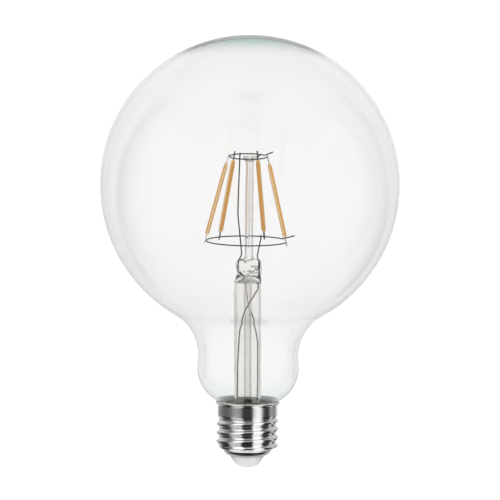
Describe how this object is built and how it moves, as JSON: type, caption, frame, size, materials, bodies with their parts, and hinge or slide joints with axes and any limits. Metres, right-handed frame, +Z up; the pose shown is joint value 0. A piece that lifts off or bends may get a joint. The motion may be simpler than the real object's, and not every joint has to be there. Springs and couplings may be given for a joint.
{
  "type": "globe bulb",
  "caption": "Clear glass globe bulb with upright light strips between two wire hoops, a glass stem and a screw cap.",
  "frame": {"origin": "middle of the centre contact's flat underside", "axes": "+Z up the bulb's axis from the cap to the crown, -Y towards the camera, +X to its right"},
  "size_m": [0.125, 0.125, 0.1807],
  "materials": {
    "clear_glass": "clear blown soda-lime glass, polished",
    "stem_glass": "clear drawn glass, fire polished",
    "phosphor": "amber phosphor silicone, slightly glossy",
    "ceramic_slip": "pale ceramic carrier under the phosphor, satin",
    "clip_metal": "stamped plated clip",
    "wire_metal": "drawn wire, dark satin",
    "lead_copper": "copper-clad wire, browned",
    "cap_nickel": "nickel-plated rolled sheet, bright",
    "black_glass": "black glass, glossy",
    "contact_metal": "stamped sheet, satin",
    "cement": "baked basing cement, matt",
    "board": "white lacquered circuit board",
    "component_black": "moulded black epoxy",
    "capacitor_can": "sleeved aluminium can",
    "resistor_body": "lacquered ceramic rod"
  },
  "bodies": {
    "root": {"basing_cement": "cement", "bottom_clip_1": "clip_metal", "bottom_clip_2": "clip_metal", "bottom_clip_3": "clip_metal", "bottom_clip_4": "clip_metal", "bridge_rectifier": "component_black", "centre_contact": "contact_metal", "contact_lead": "lead_copper", "driver_board": "board", "driver_chip": "component_black", "exhaust_tube": "stem_glass", "filament_1": "ceramic_slip", "filament_2": "ceramic_slip", "filament_3": "ceramic_slip", "filament_4": "ceramic_slip", "fuse_resistor": "resistor_body", "globe": "clear_glass", "hoop_support": "wire_metal", "inner_lead_left": "wire_metal", "inner_lead_right": "wire_metal", "insulator": "black_glass", "lower_hoop": "wire_metal", "outer_lead_left": "lead_copper", "outer_lead_right": "lead_copper", "phosphor_inner_1": "phosphor", "phosphor_inner_2": "phosphor", "phosphor_inner_3": "phosphor", "phosphor_inner_4": "phosphor", "phosphor_outer_1": "phosphor", "phosphor_outer_2": "phosphor", "phosphor_outer_3": "phosphor", "phosphor_outer_4": "phosphor", "screw_shell": "cap_nickel", "seal_wire_left": "lead_copper", "seal_wire_right": "lead_copper", "shell_lead": "lead_copper", "smoothing_capacitor": "capacitor_can", "stem_flare": "stem_glass", "stem_post": "stem_glass", "top_clip_1": "clip_metal", "top_clip_2": "clip_metal", "top_clip_3": "clip_metal", "top_clip_4": "clip_metal", "upper_hoop": "wire_metal"}
  },
  "joints": []
}
